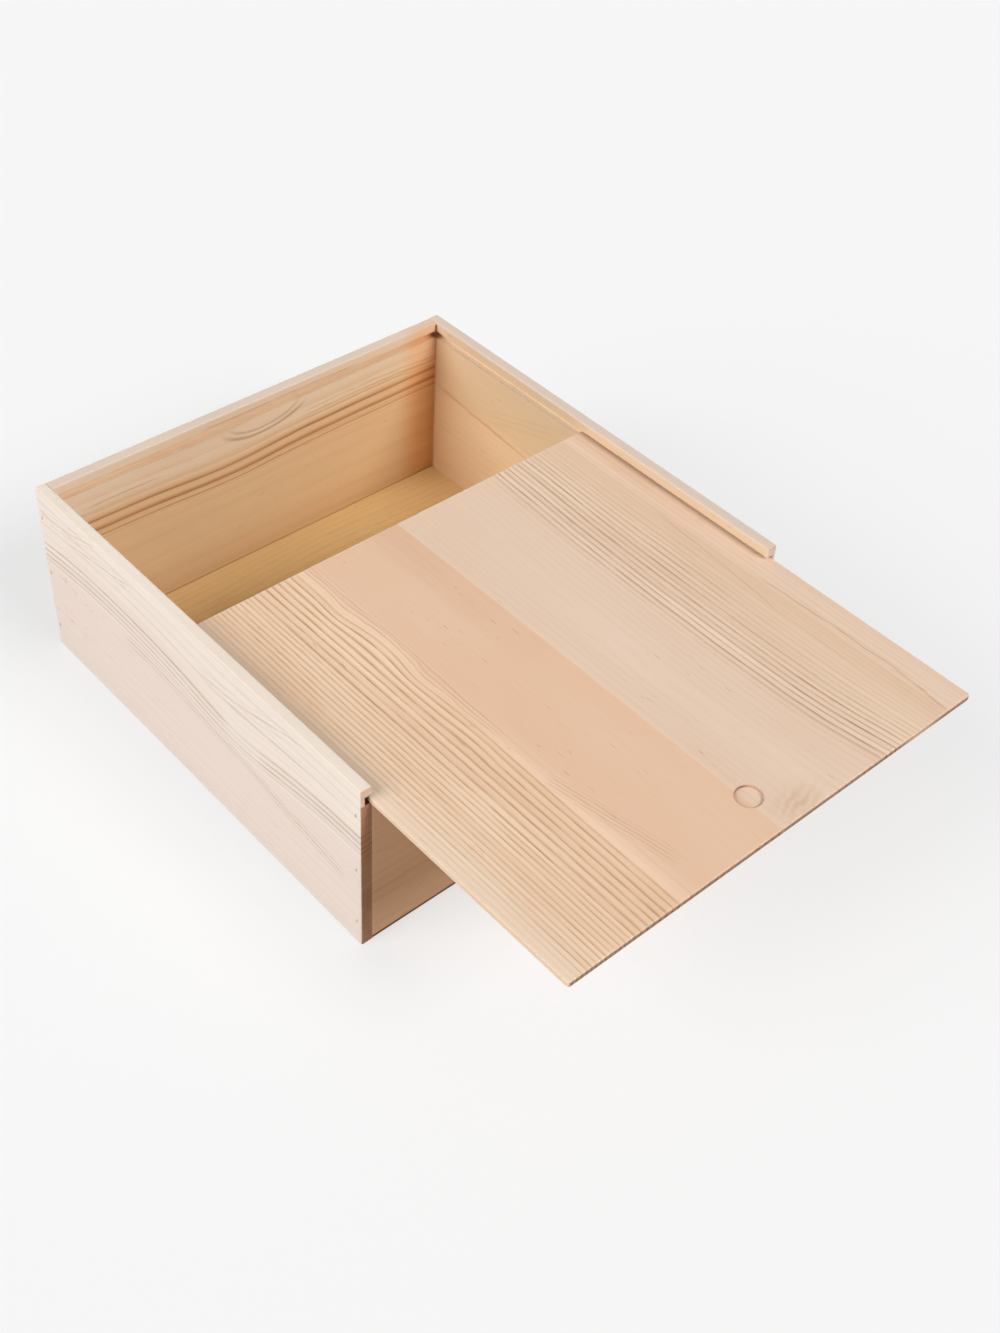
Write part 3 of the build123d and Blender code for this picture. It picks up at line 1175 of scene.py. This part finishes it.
def makePlywood(name, s):
    mat, nodes, shader = startMaterial(name)
    spot = nodes.new("ShaderNodeTexCoord").outputs
    sheet = toMillimetres(spot["Object"], s["shift"])
    rings = useGroup(growthRings, Vector=sheet, Seed=s["seed"], **s["rings"])
    fibres = useGroup(woodFibres, Vector=sheet, Seed=s["seed"])
    colour = tint(tone(*s["pale"]), rings["Late"], s["late"], s["dark"])
    colour = tint(colour, fibres["Mottle"], s["mottle"], s["dark"])
    colour = tint(colour, fibres["Fibre"], s["fibre"], s["fibreTone"], "MULTIPLY")
    colour = tint(colour, fibres["Fleck"], s["fleck"], s["glue"])
    height = minus(split(sheet)[2], s["shift"][2])
    line = fallOff(calc("PINGPONG", height, s["ply"] / 2), 0.0, s["glueLine"])
    upright = absolute(split(spot["Normal"])[2])
    colour = tint(colour, line, fallOff(upright, *s["edgeTurn"]), s["glue"])
    dull = timesPlus(fibres["Fibre"], s["fibreRough"], s["rough"])
    feedNamed(shader.inputs, {"Base Color": colour, "Roughness": dull, "Specular IOR Level": s["shine"]})
    addBump(shader, fibres["Fibre"], s["relief"])
    return mat


# Zinc-coated wire: dull, streaked along the wire, duller in spots
bradSteelSet = {
    "bright": (222, 219, 212),
    "dull": (178, 173, 165),
    "spots": (140, 126, 110),
    "drawnScale": (300, 9000, 9000),  # to the metre
    "drawnSpread": (0.3, 0.7),
    "spotScale": (1800, 1800, 1800),
    "spotSpread": (0.5, 0.75, 0.0, 0.6),
    "roughSpread": (0.3, 0.8, 0.34, 0.62),
    "relief": 0.01,
}


def makeBradSteel(name, s):
    mat, nodes, shader = startMaterial(name)
    place = nodes.new("ShaderNodeTexCoord").outputs["Object"]
    drawn = noise(vecCalc("MULTIPLY", place, s["drawnScale"]), 3.0, 0.6)
    spots = noise(vecCalc("MULTIPLY", place, s["spotScale"]))
    colour = blend(swing(drawn, *s["drawnSpread"]), tone(*s["bright"]), tone(*s["dull"]))
    colour = blend(swing(spots, *s["spotSpread"]), colour, tone(*s["spots"]))
    dull = swing(spots, *s["roughSpread"])
    feedNamed(shader.inputs, {"Base Color": colour, "Roughness": dull, "Metallic": 1.0})
    addBump(shader, drawn, s["relief"])
    return mat


pieces = [
    (leftSide, "left_side", "box", "side_pine", makePine("leftSidePine", leftSidePine, "left_side")),
    (rightSide, "right_side", "box", "side_pine", makePine("rightSidePine", rightSidePine, "right_side")),
    (frontWall, "front_wall", "box", "wall_pine", makePine("frontWallPine", frontWallPine, "front_wall")),
    (backWall, "back_wall", "box", "wall_pine", makePine("backWallPine", backWallPine, "back_wall")),
    (floorPanel, "floor_panel", "box", "floor_plywood", makePlywood("floorPlywood", plywoodSet)),
    (lidBoardLeft, "lid_board_left", "lid", "lid_pine",
     makePine("lidLeftPine", lidLeftPine, "lid_board_left")),
    (lidBoardRight, "lid_board_right", "lid", "lid_pine",
     makePine("lidRightPine", lidRightPine, "lid_board_right")),
]
bradSteel = makeBradSteel("bradSteel", bradSteelSet)
pieces += [(frontBrads, "front_corner_brads", "box", "brad_steel", bradSteel),
           (backBrads, "back_corner_brads", "box", "brad_steel", bradSteel)]
for piece in pieces:
    dress(*piece)

# Stage: a pale floor, a soft sky, a broad lamp over the front right and another on the left
stageSet = {
    "floorSize": 12.0,
    "floorSeen": (0.92, 0.92, 0.92, 1.0),
    "floorBounce": (0.5, 0.44, 0.36, 1.0),
    "floorRough": 0.9,
    "floorGlow": 0.68,  # share of the seen floor that no shadow dims
    "floorHigh": 0.1,  # millimetres, so that the box's underside is lit from below
    "backTone": (0.922, 0.922, 0.922, 1.0),
    "lightTone": (1.0, 1.0, 1.0, 1.0),
    "sky": 0.18,
    "below": 0.8,
    "horizon": (-0.02, 0.0),
    "lamps": [
        {"name": "frontLamp", "from": (0.19, -0.74, 0.64), "power": 2.2, "spread": 26.0},
        {"name": "leftLamp", "from": (-0.85, 0.14, 0.51), "power": 2.36, "spread": 45.0},
    ],
}


def shownRays(nodes):  # rays that should see the plain backdrop
    ray = nodes.new("ShaderNodeLightPath").outputs
    mirrored = calc("MAXIMUM", ray["Is Glossy Ray"], ray["Is Transmission Ray"])
    return calc("MAXIMUM", ray["Is Camera Ray"], mirrored)


def mixShaders(*sources):  # a share, and the shaders at 0 and at 1
    return addFed("MixShader", sources)[0]


def makeFloorPaint(s):  # see-through from below
    mat, nodes, shader = startMaterial("studioFloorPaint")
    shown = shownRays(nodes)
    paint = blend(shown, s["floorBounce"], s["floorSeen"])
    feedNamed(shader.inputs, {"Base Color": paint, "Roughness": s["floorRough"], "Specular IOR Level": 0.0})
    glow = nodes.new("ShaderNodeEmission")
    glow.inputs["Color"].default_value = s["floorSeen"]
    lit = mixShaders(times(shown, s["floorGlow"]), shader.outputs[0], glow.outputs[0])
    behind = nodes.new("ShaderNodeNewGeometry").outputs["Backfacing"]
    clear = nodes.new("ShaderNodeBsdfTransparent").outputs[0]
    feed(nodes["Material Output"].inputs["Surface"], mixShaders(behind, lit, clear))
    return mat


def makeWorld(s):
    world = bpy.data.worlds.new("studioSky")
    world.use_nodes = True
    nodes = world.node_tree.nodes
    nodes.clear()
    seen, light = nodes.new("ShaderNodeBackground"), nodes.new("ShaderNodeBackground")
    seen.inputs["Color"].default_value = s["backTone"]
    light.inputs["Color"].default_value = s["lightTone"]
    up = split(nodes.new("ShaderNodeTexCoord").outputs["Generated"])[2]
    feed(light.inputs["Strength"], swing(up, *s["horizon"], s["below"], s["sky"]))
    out = nodes.new("ShaderNodeOutputWorld")
    both = mixShaders(shownRays(nodes), light.outputs[0], seen.outputs[0])
    feed(out.inputs["Surface"], both)
    return world


def makeStage(s):
    clearSelection()
    bpy.ops.mesh.primitive_plane_add(size=s["floorSize"], location=(0, 0, s["floorHigh"] * mm))
    ground = settle(bpy.context.object, "studioFloor")
    ground.data.materials.append(makeFloorPaint(s))
    for lamp in s["lamps"]:
        sun = bpy.data.lights.new(lamp["name"], "SUN")
        sun.energy, sun.angle = lamp["power"], math.radians(lamp["spread"])
        stand = bpy.data.objects.new(lamp["name"], sun)
        bpy.context.scene.collection.objects.link(stand)
        stand.rotation_euler = Vector(lamp["from"]).to_track_quat("Z", "Y").to_euler()
    bpy.context.scene.world = makeWorld(s)
    bpy.context.scene.view_settings.view_transform = "Standard"


makeStage(stageSet)
print("stage lit")

clearSelection()
